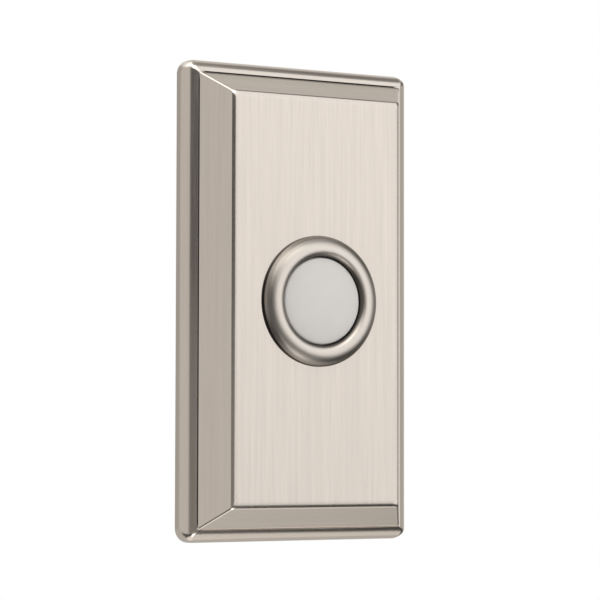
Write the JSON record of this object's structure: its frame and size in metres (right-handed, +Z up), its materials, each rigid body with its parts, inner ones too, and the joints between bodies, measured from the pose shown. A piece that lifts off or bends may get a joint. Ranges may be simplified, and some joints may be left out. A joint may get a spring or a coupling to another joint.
{
  "type": "doorbell push button",
  "caption": "Tall bevelled metal doorbell plate, snapped onto a wall bracket, with a convex round bezel and a frosted sprung push button lit from behind.",
  "frame": {"origin": "middle of the wall plane behind the plate, on the button's axis", "axes": "+Z up along the plate's height, +X to the right seen from the front, the front faces -Y and the wall is at +Y"},
  "size_m": [0.0382, 0.0158, 0.0698],
  "materials": {
    "satin_nickel": "satin nickel plate, brushed upright on the face",
    "bezel_nickel": "satin nickel plate, turned",
    "frosted_white": "frosted, lets light through",
    "white_moulding": "moulded",
    "contact_brass": "plain",
    "zinc_steel": "zinc plated",
    "dark_insulator": "pressed insulating board",
    "lamp_resin": "clear resin",
    "tinned_wire": "tinned",
    "spring_steel": "drawn wire"
  },
  "bodies": {
    "plate": {"cover_plate": "satin_nickel", "bezel_barrel": "bezel_nickel", "lock_washer": "zinc_steel", "ring_nut": "zinc_steel", "terminal_base": "dark_insulator", "left_contact": "contact_brass", "right_contact": "contact_brass", "terminal_screws": "contact_brass", "terminal_washers": "contact_brass", "led_lamp": "lamp_resin", "led_leads": "tinned_wire", "return_spring": "spring_steel", "mounting_bracket": "zinc_steel"},
    "button": {"push_button": "frosted_white", "plunger": "white_moulding", "contact_bridge": "contact_brass"}
  },
  "joints": [
    {"name": "button_press", "type": "slide", "parent": "plate", "child": "button", "axis": [0, 1, 0], "range_m": [0, 0.0015], "stiffness_N_per_m": 900, "springref_m": -0.0015, "deforming": ["return_spring"]}
  ]
}
